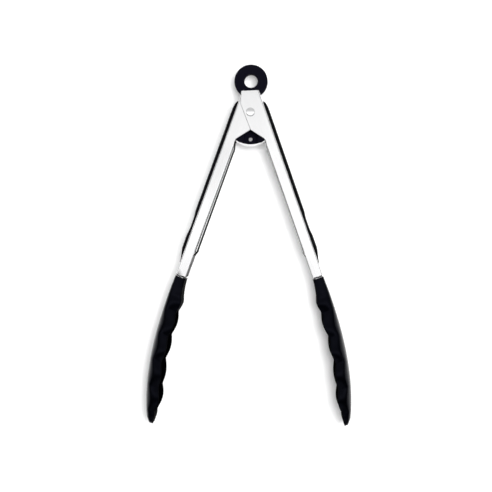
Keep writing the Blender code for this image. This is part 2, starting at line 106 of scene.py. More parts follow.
# Grips
GRIP_START = -4.4
GRIP_END = 108.0
GRIP_HALF_WIDTH = 7.8
GRIP_HEIGHT = 2.2
GRIP_NOSE = 7.0
GRIP_TAIL = 11.0
GRIP_EDGE = 0.35
GRIP_SQUARENESS = 5.0
THUMB_RECESS = (81.0, 9.0, 0.55)
THUMB_FLAT_SHARE = 0.4
GRIP_EDGE_WIDTH_SHARE = 0.82

# Scoop heads
HEAD_START = 117.0
HEAD_END = 214.0
HEAD_WALL = 2.2
NECK_HALF_WIDTH = 10.3
NECK_BACK = 10.1
NECK_BACK_RISE = (117.0, 130.0)
NECK_DEPTH = 7.1
NECK_END = 137.0
SCOOP_HALF_WIDTH = 17.0
SCOOP_WIDENING = (124.0, 170.0)
TIP_WIDTH_RATIO = 0.5
TIP_CORNER = 2.2
TIP_CORNER_FULLNESS = 0.96
NECK_SQUARENESS = 7.0
SCOOP_SQUARENESS = 2.6
SQUARENESS_RUN = (117.0, 150.0)
THINNEST_EDGE = 1.0
BACK_CURVE = [(136.0, 10.4), (160.0, 10.3), (187.0, 7.2), (210.5, -3.3)]
RIM_CURVE = [(137.0, 0.5), (193.0, -0.6), (177.0, -7.0), (214.0, -8.9)]
TIP_BACK = -6.0
SCALLOP_PITCH = 16.6
SCALLOP_NOTCH = 139.5
SCALLOP_HEIGHT = 0.75
NOTCH_ROUNDING = 0.006
SCALLOP_START = (126.0, 134.0)
SCALLOP_END = (204.0, 212.0)
FLUTE_DEPTH = 2.3
FLUTE_REACH = (0.2, 0.92)
CAVITY_START = 139.0
CAVITY_END = 211.5
CAVITY_RUN = 12.0
CAVITY_EARLY_RUN = 2.0
LEAST_INNER_SHARE = 0.3
POCKET_DEPTH = 5.0
RIM_ROUND = 0.35
MOST_RIM_SHARE = 0.45
RIM_STEPS = 8
SECTION_STEPS = 36
OUTSIDE_SLOT = 0
# The scoop's hollow takes a darker, barely glossy copy of the nylon: painted shade in the hollow.
SCOOP_PAINTED_SHADE_SLOT = 1

# Pivot
RIVET_RADIUS = 2.1
RIVET_HEAD_RADIUS = 2.8
RIVET_HEAD_HEIGHT = 0.75
RIVET_EDGE = 0.5
RIVET_CROWN = 0.12
WASHER_THICKNESS = 0.5
BUSHING_RADIUS = 2.9

# Pull tab
RING_CENTRE_Y = 21.5
RING_RADIUS = 11.0
RING_HOLE_RADIUS = 4.4
RING_HALF_THICKNESS = 2.2
TAB_HALF_THICKNESS = 1.5
TAB_FILLET = 0.45
TAB_ROUNDING = 0.25
SHANK_HALF_WIDTH = 4.9
FOOT_HALF_WIDTH = 8.7
FOOT_TOP_Y = -12.0
FOOT_CORNER = 1.5
FOOT_TO_SPRING = 1.5 * GAP
EAR_SPAN = (4.8, 8.8)
EAR_TOP_Y = -12.6
EAR_END_Y = -19.2
EAR_CORNER = 1.3
EAR_HALF_HEIGHT = 7.2
STRIP_WAY_TOP_Y = -17.0
TAB_TRAVEL = 7.5
EYE_CENTRE_Y = -16.9
EYE_RADIUS = 1.3

# Leaf spring
SPRING_SHEET = 0.5
SPRING_HALF_WIDTH = 5.0
SPRING_BOW_Y = -20.9
SPRING_BOW_RADIUS = 17.6
SPRING_LEG_START = 20.5
SPRING_LEG_END = 52.0
SPRING_BEND_RADIUS = 1.3
BOW_END_SHARE = 1.2
LEG_STEPS = 8

# Materials: grey steel tones that paint shade on the channel's inside and its sheared edges, the
# nylon's bluish gloss and the part of a noise that is used
# Painted shade: the channel's inside where the lips close it is painted near black. The sheared edges
# are partly darkened as painted shade, and the same middle grey paints the open inside past the lips.
PAINTED_SHADE_INSIDE_TONE = 0.05
SHEARED_AND_PAINTED_SHADE_TONE = 0.55
NYLON_GLOSS = (0.65, 0.68, 1.0)
NOISE_SPAN = (0.3, 0.7)

# Camera: metres, radians and millimetres of lens
CAMERA_PLACE = (0.0221, -0.0057, 0.727)
CAMERA_AIM = (-0.0022, -0.0014, 0.027)
CAMERA_ROLL = 0.0076
CAMERA_LENS = 78.56
SENSOR_WIDTH = 36.0

# World light: its brightness against each direction's Z, from the horizon to overhead
LIGHT_HEIGHT = (0.15, 0.75)
LIGHT_STRENGTH = (0.1, 1.33)

# World light: its share of full strength at each direction's Y, from the tips' side to the ring's
LIGHT_ALONG_Y = [
    (-1.0, 1.0), (-0.75, 0.8), (-0.55, 0.0), (-0.3, 0.0), (-0.17, 0.3),
    (-0.07, 1.0), (0.12, 1.0), (0.18, 0.3), (0.5, 0.5), (1.0, 1.0),
]


# Small helpers


def smooth_step(value, start, end):
    t = min(max((value - start) / (end - start), 0.0), 1.0)
    return t * t * (3.0 - 2.0 * t)


def lerp(a, b, t):
    return a + (b - a) * t


def spread(start, end, steps):
    """Evenly spaced values, both ends included."""
    return [lerp(start, end, i / steps) for i in range(steps + 1)]


def arc(centre, radius, start, end, steps):
    return [
        (centre[0] + radius * math.cos(a), centre[1] + radius * math.sin(a))
        for a in spread(start, end, steps)
    ]


def bezier_height(points, along):
    """The second coordinate where a Bezier curve passes along."""
    low, high = 0.0, 1.0
    for _ in range(40):
        t = (low + high) / 2
        s = 1.0 - t
        shares = (s**3, 3 * s * s * t, 3 * s * t * t, t**3)
        x = sum(share * p[0] for share, p in zip(shares, points))
        if x < along:
            low = t
        else:
            high = t
    return sum(share * p[1] for share, p in zip(shares, points))


def power(value, exponent):
    return math.copysign(abs(value) ** exponent, value)


def arm_point(side, along, out, z):
    return Vector((side * out, -along, z)) * MM


def hinge_matrix(side):
    return Matrix.Translation(PIVOT) @ Matrix.Rotation(side * SPLAY, 4, "Z")


def pivot_matrix():
    return Matrix.Translation(PIVOT)


def skin(rings, closed=False, slots=None):
    """Joins rings of equal point count with quads. Both ends are capped, or joined if closed.

    slots holds the material slot of each stretch from one ring point to the next.
    """
    bm = bmesh.new()
    loops = [[bm.verts.new(point) for point in ring] for ring in rings]
    count = len(rings[0])
    pairs = list(zip(loops, loops[1:]))
    if closed:
        pairs.append((loops[-1], loops[0]))
    for first, second in pairs:
        for i in range(count):
            j = (i + 1) % count
            face = bm.faces.new((first[i], first[j], second[j], second[i]))
            if slots:
                face.material_index = slots[i]
    if not closed:
        bm.faces.new(loops[0])
        bm.faces.new(loops[-1])
    return bm


def plate(outline, low, high):
    """Extrudes a flat outline of (x, y) points, in millimetres, between two heights."""
    return skin([[Vector((x, y, z)) * MM for x, y in outline] for z in (low, high)])


def lathe(profile, centre=(0.0, 0.0), segments=96):
    """Turns a closed loop of (radius, z) points, or one that starts and ends on the axis."""
    rings = []
    for angle in spread(0.0, math.tau, segments)[:-1]:
        ring = []
        for radius, z in profile:
            x = centre[0] + radius * math.cos(angle)
            y = centre[1] + radius * math.sin(angle)
            ring.append(Vector((x, y, z)) * MM)
        rings.append(ring)
    bm = skin(rings, closed=True)
    bmesh.ops.remove_doubles(bm, verts=bm.verts, dist=1e-7)
    return bm


def cylinder(radius, low, high, centre=(0.0, 0.0), segments=96):
    return lathe([(0, low), (radius, low), (radius, high), (0, high)], centre, segments)


def make_object(name, bm, matrix, materials=()):
    bmesh.ops.recalc_face_normals(bm, faces=bm.faces)
    mesh = bpy.data.meshes.new(name)
    for material in materials:
        mesh.materials.append(material)
    bm.to_mesh(mesh)
    bm.free()
    thing = bpy.data.objects.new(name, mesh)
    bpy.context.scene.collection.objects.link(thing)
    thing.matrix_world = matrix
    return thing


def combine(thing, operation, bm):
    """Cuts a shape out of thing, or adds it, for good."""
    other = make_object(f"{thing.name}_tool", bm, thing.matrix_world.copy())
    modifier = thing.modifiers.new("combine", "BOOLEAN")
    modifier.operation = operation
    modifier.solver = "EXACT"
    modifier.object = other
    bpy.context.view_layer.update()
    evaluated = thing.evaluated_get(bpy.context.evaluated_depsgraph_get())
    mesh = bpy.data.meshes.new_from_object(evaluated)
    thing.modifiers.clear()
    old, thing.data = thing.data, mesh
    bpy.data.meshes.remove(old)
    bpy.data.objects.remove(other)


def soften(thing, width, segments=2, angle=50.0, edge_slot=-1):
    """Rounds the sharp edges by a width in millimetres, in the material of edge_slot if given."""
    bevel = thing.modifiers.new("edges", "BEVEL")
    bevel.width = width * MM
    bevel.segments = segments
    bevel.limit_method = "ANGLE"
    bevel.angle_limit = math.radians(angle)
    bevel.material = edge_slot
    flatten(thing)


def flatten(thing):
    """Shades by face area, so that a wide flat face beside a bend stays flat."""
    weighted = thing.modifiers.new("flat_faces", "WEIGHTED_NORMAL")
    weighted.mode = "FACE_AREA"
    weighted.weight = 100
    weighted.keep_sharp = True


def finish_piece(thing, material, slot_name, body, *nodes, sharp=35.0):
    thing.data.transform(thing.matrix_world)
    thing.matrix_world = Matrix.Identity(4)
    if material is not None:
        thing.data.materials.clear()
        thing.data.materials.append(material)
    thing.data.shade_smooth()
    thing.data.set_sharp_from_angle(angle=math.radians(sharp))
    if nodes:
        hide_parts(*nodes)
    if body is not None:
        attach(thing, body)


# Channel arms


def half_channel_path(edge, lip_weight, spine, half_width, radius, lip_steps=8, bend_steps=8):
    """The sheet's middle line in (out, z) from the cheek's inner edge to the back, with normals."""
    length = lerp(LIP_FLAT, LIP_RADIUS * LIP_ANGLE, lip_weight)
    turn = LIP_ANGLE * lip_weight
    z_cheek = half_width - SHEET / 2
    out, z = edge, z_cheek
    lip = [(out, z, 0.0)]
    for i in range(lip_steps):
        middle = turn * (i + 0.5) / lip_steps
        out -= length / lip_steps * math.cos(middle)
        z -= length / lip_steps * math.sin(middle)
        lip.append((out, z, turn * (i + 1) / lip_steps))
    path = [(out, z, -math.sin(heading), math.cos(heading)) for out, z, heading in reversed(lip)]
    centre_out = spine - SHEET / 2 - radius
    for angle in spread(math.pi / 2, 0.0, bend_steps):
        normal = (math.cos(angle), math.sin(angle))
        point = (centre_out + radius * normal[0], z_cheek - radius + radius * normal[1])
        path.append((*point, *normal))
    return path


def rounded_edge(point, before, thickness):
    """Points round the sheet's free edge, from its outside to its inside."""
    out, z, nx, nz = point
    ahead = Vector((out - before[0], z - before[1])).normalized() * EDGE_ROUND
    points = []
    for angle in spread(math.pi / 2, -math.pi / 2, EDGE_STEPS)[1:-1]:
        rise = math.sin(angle) * thickness / 2
        reach = math.cos(angle)
        points.append((out + nx * rise + ahead.x * reach, z + nz * rise + ahead.y * reach))
    return points


def channel_slots():
    """Material slots round a channel section: brushed outside, sheared edges partly in painted shade,
    and the rolled inside in painted shade.
    """
    across = len(half_channel_path(0.0, 0.0, SPINE_OUT, CHANNEL_HALF_WIDTH, BEND_RADIUS)) * 2 - 1
    edge = [SHEARED_AND_PAINTED_SHADE_SLOT] * EDGE_STEPS
    return [BRUSHED_SLOT] * across + edge + [PAINTED_SHADE_INSIDE_SLOT] * across + edge


def channel_section(edge, lip_weight, spine, half_width, thickness):
    """A closed (out, z) loop round the channel's sheet, upper cheek first."""
    radius = max(BEND_RADIUS - SHEET / 2, thickness / 2 + LEAST_INNER_RADIUS)
    upper = half_channel_path(edge, lip_weight, spine, half_width, radius)
    lower = [(out, -z, nx, -nz) for out, z, nx, nz in reversed(upper)]
    path = upper + lower
    outside = [(out + nx * thickness / 2, z + nz * thickness / 2) for out, z, nx, nz in path]
    inside = [(out - nx * thickness / 2, z - nz * thickness / 2) for out, z, nx, nz in path]
    lower_edge = rounded_edge(path[-1], path[-2], thickness)
    upper_edge = rounded_edge(path[0], path[1], thickness)
    return outside + lower_edge + inside[::-1] + upper_edge[::-1]


def nest_shift(along, z):
    """Moves the inner arm's cheeks in so that they fit between the outer arm's."""
    weight = 1.0 - smooth_step(along, *NEST_RUN)
    reach = min(abs(z) / (CHANNEL_HALF_WIDTH - SHEET - BEND_RADIUS), 1.0)
    return -math.copysign(NEST_STEP * weight * reach, z)


def channel_ring(side, station, nested, thickness):
    """One ring of points across the channel. A slanted station follows a slanted edge."""
    back, (inner, edge), lip_weight, tang = station
    spine = SPINE_OUT - TANG_STEP * tang
    half_width = CHANNEL_HALF_WIDTH - TANG_STEP * tang
    sheet_edge = edge + LIP_FLAT + EDGE_ROUND
    slope = (inner - back) / (SPINE_OUT - edge)
    ring = []
    for out, z in channel_section(sheet_edge, lip_weight, spine, half_width, thickness):
        along = back + slope * (SPINE_OUT - out)
        if nested:
            z += nest_shift(along, z)
        ring.append(arm_point(side, along, out, z))
    return ring


def arm_stations(nested):
    """(back, (inner, edge), lip weight, tang) from the cheeks' top to the tang's end."""
    top = INNER_CHEEK_TOP if nested else OUTER_CHEEK_TOP
    backs = spread(CHEEK_TOP_BACK, top[-1][0], len(top) - 1)
    stations = [(back, corner, 0.0, 0.0) for back, corner in zip(backs, top)]
    for corner in (NOTCH_APEX, NOTCH_CORNER):
        stations.append((corner[0] + NOTCH_BACK_STEP, corner, 0.0, 0.0))
    handle = spread(NEST_RUN[0], LIP_START[1], 10)
    handle += spread(LIP_START[1], LIP_END[0], 12)[1:]
    handle += spread(*LIP_END, 10)[1:]
    handle += spread(LIP_END[1], SHOULDER[0], 3)[1:]
    for along in handle:
        lip_weight = smooth_step(along, *LIP_START) * (1.0 - smooth_step(along, *LIP_END))
        stations.append((along, (along, CHEEK_EDGE), lip_weight, 0.0))
    for along in (SHOULDER[1], TANG_END):
        stations.append((along, (along, TANG_EDGE), 0.0, 1.0))
    return stations


def paint_shade_on_lips(channel):
    """Paints the folded lips' edges with the inside's painted shade, and paints the inside past the
    lips a lighter painted shade, as more light reaches it there.
    """
    for face in channel.faces:
        along = -face.calc_center_median().y / MM
        if face.material_index == SHEARED_AND_PAINTED_SHADE_SLOT and LIP_START[0] < along < LIP_END[1]:
            face.material_index = PAINTED_SHADE_INSIDE_SLOT
        elif face.material_index == PAINTED_SHADE_INSIDE_SLOT and along > LIP_END[1]:
            face.material_index = SHEARED_AND_PAINTED_SHADE_SLOT


def make_arm(name, side, materials):
    nested = name == "left"
    rings = [channel_ring(side, station, nested, SHEET) for station in arm_stations(nested)]
    channel = skin(rings, slots=channel_slots())
    paint_shade_on_lips(channel)
    arm = make_object(f"{name}_arm_channel", channel, hinge_matrix(side), materials)
    hole = cylinder(RIVET_RADIUS + GAP, -2 * CHANNEL_HALF_WIDTH, 2 * CHANNEL_HALF_WIDTH, segments=48)
    combine(arm, "DIFFERENCE", hole)
    near = SPINE_OUT - BEND_RADIUS - SHEET
    far = SPINE_OUT + SHEET
    top = CHEEK_TOP_BACK - SHEET
    corners = [(SPINE_TOP, near), (SPINE_TOP, far), (top, far), (top, near)]
    outline = [(side * out, -along) for along, out in corners]
    combine(arm, "DIFFERENCE", plate(outline, -SPINE_NOTCH_HALF, SPINE_NOTCH_HALF))
    soften(arm, BURR, edge_slot=SHEARED_AND_PAINTED_SHADE_SLOT)
    finish_piece(arm, None, "stainless", f"{name}_arm", f"{name}_arm")


# Grips


def grip_height(along):
    nose = min((along - GRIP_START) / GRIP_NOSE, 1.0)
    rise = math.sqrt(max(1.0 - (1.0 - nose) ** 2, 0.0))
    fall = smooth_step(GRIP_END - along, 0.0, GRIP_TAIL)
    centre, half_length, depth = THUMB_RECESS
    flat = THUMB_FLAT_SHARE * half_length
    recess = depth * (1.0 - smooth_step(abs(along - centre), flat, half_length))
    return GRIP_EDGE + (GRIP_HEIGHT - recess - GRIP_EDGE) * rise * fall


def grip_ring(side, along):
    height = grip_height(along)
    half_width = GRIP_HALF_WIDTH * lerp(GRIP_EDGE_WIDTH_SHARE, 1.0, height / GRIP_HEIGHT)
    low = SPINE_OUT + GAP
    section = []
    for angle in spread(-math.pi / 2, math.pi / 2, 32):
        z = half_width * power(math.sin(angle), 2 / GRIP_SQUARENESS)
        out = low + height * power(math.cos(angle), 2 / GRIP_SQUARENESS)
        section.append(arm_point(side, along, out, z))
    return section


def make_grip(name, side, material):
    stations = spread(GRIP_START, GRIP_START + GRIP_NOSE, 12)
    stations += spread(GRIP_START + GRIP_NOSE, GRIP_END - GRIP_TAIL, 48)[1:]
    stations += spread(GRIP_END - GRIP_TAIL, GRIP_END, 14)[1:]
    strip = skin([grip_ring(side, along) for along in stations])
    grip = make_object(f"{name}_grip_strip", strip, hinge_matrix(side))
    finish_piece(grip, material, "grip_rubber", f"{name}_arm", f"{name}_grip")


# Scoop heads


def scallop(along):
    """1 on a scallop's crest and -1 in the notch between two."""
    fade = smooth_step(along, *SCALLOP_START) * (1.0 - smooth_step(along, *SCALLOP_END))
    wave = math.sin(math.pi * (along - SCALLOP_NOTCH) / SCALLOP_PITCH)
    return fade * (2.0 * math.sqrt(wave * wave + NOTCH_ROUNDING) - 1.0)


def head_back(along):
    if along <= BACK_CURVE[0][0]:
        return lerp(NECK_BACK, BACK_CURVE[0][1], smooth_step(along, *NECK_BACK_RISE))
    tip_start = BACK_CURVE[-1][0]
    if along >= tip_start:
        return lerp(BACK_CURVE[-1][1], TIP_BACK, (along - tip_start) / (HEAD_END - tip_start))
    return bezier_height(BACK_CURVE, along)


def head_rim(along):
    if along < NECK_END:
        base = lerp(NECK_BACK - NECK_DEPTH, RIM_CURVE[0][1], smooth_step(along, HEAD_START, NECK_END))
    else:
        base = bezier_height(RIM_CURVE, along)
    return base - SCALLOP_HEIGHT * scallop(along)


def head_half_width(along):
    widest = SCOOP_WIDENING[1]
    if along < widest:
        return lerp(NECK_HALF_WIDTH, SCOOP_HALF_WIDTH, smooth_step(along, *SCOOP_WIDENING))
    t = (along - widest) / (HEAD_END - widest)
    half_width = SCOOP_HALF_WIDTH * math.sqrt(1.0 - (1.0 - TIP_WIDTH_RATIO**2) * t * t)
    corner = max(along - (HEAD_END - TIP_CORNER), 0.0) / TIP_CORNER
    return half_width - TIP_CORNER * (1.0 - math.sqrt(1.0 - TIP_CORNER_FULLNESS * corner * corner))


def cavity_floor(along):
    """The scoop's floor between the rim, where there is no hollow, and the back's inner face."""
    run_in = smooth_step(along, CAVITY_START - CAVITY_EARLY_RUN, CAVITY_START + CAVITY_RUN)
    run_out = 1.0 - smooth_step(along, CAVITY_END - CAVITY_RUN, CAVITY_END)
    return lerp(head_rim(along), head_back(along) - HEAD_WALL, run_in * run_out)


def head_section(along):
    """A closed (out, z) loop: outer side, rounded rim, hollow and the other rim."""
    rim = head_rim(along)
    back = max(head_back(along), rim + THINNEST_EDGE)
    half = head_half_width(along)
    square = lerp(NECK_SQUARENESS, SCOOP_SQUARENESS, smooth_step(along, *SQUARENESS_RUN))
    flute = FLUTE_DEPTH * smooth_step(along, *SCALLOP_START) * (scallop(along) - 1.0) / 2
    turn = min(RIM_ROUND, MOST_RIM_SHARE * (back - rim))
    outer = []
    for angle in spread(-math.pi / 2, math.pi / 2, SECTION_STEPS):
        depth = power(math.cos(angle), 2.0 / square)
        across = power(math.sin(angle), 2.0 / square)
        width = half + flute * (1.0 - smooth_step(depth, *FLUTE_REACH))
        outer.append((lerp(rim + turn, back, depth), width * across))
    floor = max(cavity_floor(along), rim)
    inner_half = max(half + flute - HEAD_WALL, LEAST_INNER_SHARE * half)
    inner = []
    for angle in spread(math.pi / 2, -math.pi / 2, SECTION_STEPS):
        depth = power(math.cos(angle), 2.0 / square)
        across = power(math.sin(angle), 2.0 / square)
        inner.append((lerp(rim + min(turn, floor - rim), floor, depth), inner_half * across))
    rim_half = abs(outer[-1][1])
    rims = []
    middle = (rim_half + inner_half) / 2
    for sign in (1, -1):
        turned = []
        for angle in spread(0.0, math.pi, RIM_STEPS)[1:-1]:
            z = middle + (rim_half - middle) * math.cos(angle)
            lift = turn if math.cos(angle) > 0 else min(turn, floor - rim)
            out = rim + lift - lift * math.sin(angle)
            turned.append((out, sign * z))
        rims.append(turned if sign > 0 else turned[::-1])
    return outer + rims[0] + inner + rims[1]


def make_head(name, side, materials):
    stations = spread(HEAD_START, SCALLOP_START[0], 12)
    stations += spread(SCALLOP_START[0], HEAD_END - TIP_CORNER, 150)[1:]
    stations += [HEAD_END - TIP_CORNER * (1.0 - math.sin(a)) for a in spread(0.0, math.pi / 2, 8)[1:]]
    rings = []
    for along in stations:
        rings.append([arm_point(side, along, out, z) for out, z in head_section(along)])
    # The hollow's faces get the scoop material, which paints shade in the hollow.
    slots = [OUTSIDE_SLOT] * SECTION_STEPS + [SCOOP_PAINTED_SHADE_SLOT] * (len(rings[0]) - SECTION_STEPS)
    head = make_object(f"{name}_scoop_head", skin(rings, slots=slots), hinge_matrix(side), materials)
    pocket_ends = (SHOULDER[1] - POCKET_DEPTH, TANG_END + GAP)
    stations = [(along, (along, TANG_EDGE - GAP), 0.0, 1.0) for along in pocket_ends]
    pocket = skin([channel_ring(side, station, False, SHEET + 2 * GAP) for station in stations])
    combine(head, "DIFFERENCE", pocket)
    finish_piece(head, None, "head_nylon", f"{name}_arm", f"{name}_head", sharp=40.0)


# Pivot, tab and spring


def make_rivet(material):
    top = CHANNEL_HALF_WIDTH + GAP
    tail = -top - WASHER_THICKNESS - GAP
    edge = RIVET_HEAD_RADIUS - RIVET_EDGE
    dome = [(RIVET_HEAD_RADIUS, 0.0)]
    dome += arc((edge, RIVET_HEAD_HEIGHT - RIVET_EDGE), RIVET_EDGE, 0.0, math.pi / 2, 8)
    for share in (0.75, 0.5, 0.25, 0.0):
        dome.append((edge * share, RIVET_HEAD_HEIGHT + RIVET_CROWN * (1.0 - share * share)))
    profile = [(radius, tail - height) for radius, height in reversed(dome)]
    profile += [(RIVET_RADIUS, tail), (RIVET_RADIUS, top)]
    profile += [(radius, top + height) for radius, height in dome]
    rivet = make_object("rivet_turned", lathe(profile), pivot_matrix())
    flatten(rivet)
    finish_piece(rivet, material, "spring_steel", "pivot", "pivot_rivet")


def bow_y(x):
    return SPRING_BOW_Y + x * x / (2 * SPRING_BOW_RADIUS)


def foot_edge_y(x):
    """The foot's lower edge follows the spring's bow."""
    return bow_y(x) + SPRING_SHEET / 2 + FOOT_TO_SPRING


def tab_outline():
    shank_top = RING_CENTRE_Y - (RING_RADIUS + RING_HOLE_RADIUS) / 2
    half = [(SHANK_HALF_WIDTH, shank_top), (SHANK_HALF_WIDTH, FOOT_TOP_Y)]
    corner = (FOOT_HALF_WIDTH - FOOT_CORNER, FOOT_TOP_Y - FOOT_CORNER)
    half += arc(corner, FOOT_CORNER, math.pi / 2, 0.0, 8)
    half += [(x, foot_edge_y(x)) for x in spread(FOOT_HALF_WIDTH, 0.0, 20)[:-1]]
    return half + [(0.0, foot_edge_y(0.0))] + [(-x, y) for x, y in reversed(half)]


def ring_profile():
    """The ring's cut face as a rounded rectangle of (radius, z)."""
    h = RING_HALF_THICKNESS
    f = TAB_FILLET
    profile = []
    for radius, z, start in (
        (RING_RADIUS - f, h - f, 0.0),
        (RING_HOLE_RADIUS + f, h - f, math.pi / 2),
        (RING_HOLE_RADIUS + f, f - h, math.pi),
        (RING_RADIUS - f, f - h, 1.5 * math.pi),
    ):
        profile += arc((radius, z), f, start, start + math.pi / 2, 4)
    return profile


def rectangle(side, near, far, low, high):
    return [(side * near, low), (side * far, low), (side * far, high), (side * near, high)]


def ear_outline(side):
    """A foot ear from above, its lower outer corner cut off."""
    near, far = EAR_SPAN
    points = [
        (near, EAR_TOP_Y),
        (far, EAR_TOP_Y),
        (far, EAR_END_Y + EAR_CORNER),
        (far - EAR_CORNER, EAR_END_Y),
        (near, EAR_END_Y),
    ]
    return [(side * x, y) for x, y in points]


def foot_ear(side):
    """A thick end of the foot that straddles the spring's strip."""
    near, far = EAR_SPAN
    block = plate(ear_outline(side), -EAR_HALF_HEIGHT, EAR_HALF_HEIGHT)
    ear = make_object("ear", block, pivot_matrix())
    way_half = SPRING_HALF_WIDTH + GAP
    outline = rectangle(side, near - GAP, far + GAP, EAR_END_Y - GAP, STRIP_WAY_TOP_Y)
    combine(ear, "DIFFERENCE", plate(outline, -way_half, way_half))
    bm = bmesh.new()
    bm.from_mesh(ear.data)
    bpy.data.objects.remove(ear)
    return bm


def make_pull_tab(material):
    body = plate(tab_outline(), -TAB_HALF_THICKNESS, TAB_HALF_THICKNESS)
    tab = make_object("pull_tab_moulded", body, pivot_matrix())
    combine(tab, "UNION", lathe(ring_profile(), (0.0, RING_CENTRE_Y)))
    for side in SIDES.values():
        combine(tab, "UNION", foot_ear(side))
    slot_radius = BUSHING_RADIUS + GAP
    outline = arc((0.0, 0.0), slot_radius, 0.0, math.pi, 16)
    outline += arc((0.0, -TAB_TRAVEL), slot_radius, math.pi, math.tau, 16)
    reach = 2 * RING_HALF_THICKNESS
    combine(tab, "DIFFERENCE", plate(outline, -reach, reach))
    combine(tab, "DIFFERENCE", cylinder(EYE_RADIUS, -reach, reach, (0.0, EYE_CENTRE_Y), 32))
    soften(tab, TAB_ROUNDING, 3, 60.0)
    finish_piece(tab, material, "tab_plastic", "pull_tab", "pull_tab")


def leg_point(along, out):
    """A point of the right arm's space, turned to where the open arm holds it."""
    x = math.sin(SPLAY) * along + math.cos(SPLAY) * out
    y = -math.cos(SPLAY) * along + math.sin(SPLAY) * out
    return Vector((x, y))


def spring_path():
    """The right half of the strip's middle line: bow, tight bend and leg."""
    leg_out = SPINE_OUT - SHEET - GAP - SPRING_SHEET / 2
    leg_top = leg_point(SPRING_LEG_START, leg_out)
    leg_end = leg_point(SPRING_LEG_END, leg_out)
    down = (leg_end - leg_top).normalized()
    inward = Vector((down.y, -down.x))
    centre = leg_top + inward * SPRING_BEND_RADIUS
    bow_end = centre.x - BOW_END_SHARE * SPRING_BEND_RADIUS
    path = [Vector((x, bow_y(x))) for x in spread(0.0, bow_end, 28)]
    start = math.atan2(-inward.y, -inward.x)
    rise = math.atan2(bow_end, SPRING_BOW_RADIUS)
    for angle in spread(math.pi / 2 + rise, start, 12):
        offset = Vector((math.cos(angle), math.sin(angle))) * SPRING_BEND_RADIUS
        path.append(centre + offset)
    path += [leg_top.lerp(leg_end, t) for t in spread(0.0, 1.0, LEG_STEPS)[1:]]
    return path


def make_spring_half(name, side, material):
    path = [Vector((side * p.x, p.y)) for p in spring_path()]
    half = SPRING_SHEET / 2
    rings = []
    for i, point in enumerate(path):
        tangent = (path[min(i + 1, len(path) - 1)] - path[max(i - 1, 0)]).normalized()
        if i == 0:
            tangent = Vector((side, 0.0))
        normal = Vector((-tangent.y, tangent.x))
        ring = []
        for across, z in ((-half, -1), (-half, 1), (half, 1), (half, -1)):
            x, y = point + normal * across
            ring.append(Vector((x, y, z * SPRING_HALF_WIDTH)) * MM)
        rings.append(ring)
    spring = make_object(f"leaf_spring_{name}", skin(rings), pivot_matrix())
    finish_piece(spring, material, "spring_steel", None, "leaf_spring")
    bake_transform(spring)


# Materials


def new_material(name, colour, roughness, metallic=0.0):
    material = bpy.data.materials.new(name)
    material.use_nodes = True
    shader = material.node_tree.nodes["Principled BSDF"]
    shader.inputs["Base Color"].default_value = (*colour, 1.0)
    shader.inputs["Roughness"].default_value = roughness
    shader.inputs["Metallic"].default_value = metallic
    return material, material.node_tree, shader


def noise_on(tree, stretch, scale, detail=3.0, turn=0.0):
    """A noise in the frame's space, turned about Z, then stretched along its axes."""
    place = tree.nodes.new("ShaderNodeTexCoord")
    mapping = tree.nodes.new("ShaderNodeMapping")
    mapping.vector_type = "TEXTURE"
    mapping.inputs["Rotation"].default_value = (0.0, 0.0, turn)
    mapping.inputs["Scale"].default_value = tuple(1.0 / share for share in stretch)
    noise = tree.nodes.new("ShaderNodeTexNoise")
    noise.inputs["Scale"].default_value = scale
    noise.inputs["Detail"].default_value = detail
    tree.links.new(place.outputs["Object"], mapping.inputs["Vector"])
    tree.links.new(mapping.outputs["Vector"], noise.inputs["Vector"])
    return noise.outputs["Fac"]


def vary(tree, source, low, high, target):
    """Moves a shader input between two values by a noise."""
    span = tree.nodes.new("ShaderNodeMapRange")
    span.inputs["From Min"].default_value = NOISE_SPAN[0]
    span.inputs["From Max"].default_value = NOISE_SPAN[1]
    span.inputs["To Min"].default_value = low
    span.inputs["To Max"].default_value = high
    tree.links.new(source, span.inputs["Value"])
    tree.links.new(span.outputs["Result"], target)


def tint(tree, source, low, high, target):
    """Moves a colour between two by a noise."""
    ramp = tree.nodes.new("ShaderNodeValToRGB")
    ramp.color_ramp.elements[0].position = NOISE_SPAN[0]
    ramp.color_ramp.elements[1].position = NOISE_SPAN[1]
    ramp.color_ramp.elements[0].color = (*low, 1.0)
    ramp.color_ramp.elements[1].color = (*high, 1.0)
    tree.links.new(source, ramp.inputs["Fac"])
    tree.links.new(ramp.outputs["Color"], target)


def bump(tree, shader, source, distance, strength=1.0):
    node = tree.nodes.new("ShaderNodeBump")
    node.inputs["Distance"].default_value = distance * MM
    node.inputs["Strength"].default_value = strength
    tree.links.new(source, node.inputs["Height"])
    tree.links.new(node.outputs["Normal"], shader.inputs["Normal"])


def brushed_steel(name, side):
    """Cold rolled stainless, brushed along the arm."""
    material, tree, shader = new_material(f"brushed_stainless_{name}", (0.93, 0.93, 0.935), 0.3, 1.0)
    lines = noise_on(tree, (1.0, 0.02, 1.0), 5200.0, 4.0, side * SPLAY)
    clouds = noise_on(tree, (1.0, 0.25, 1.0), 60.0, 2.0, side * SPLAY)
    tint(tree, lines, (0.93, 0.93, 0.935), (0.98, 0.98, 0.985), shader.inputs["Base Color"])
    vary(tree, clouds, 0.2, 0.28, shader.inputs["Roughness"])
    bump(tree, shader, lines, 0.004, 0.5)
    return material


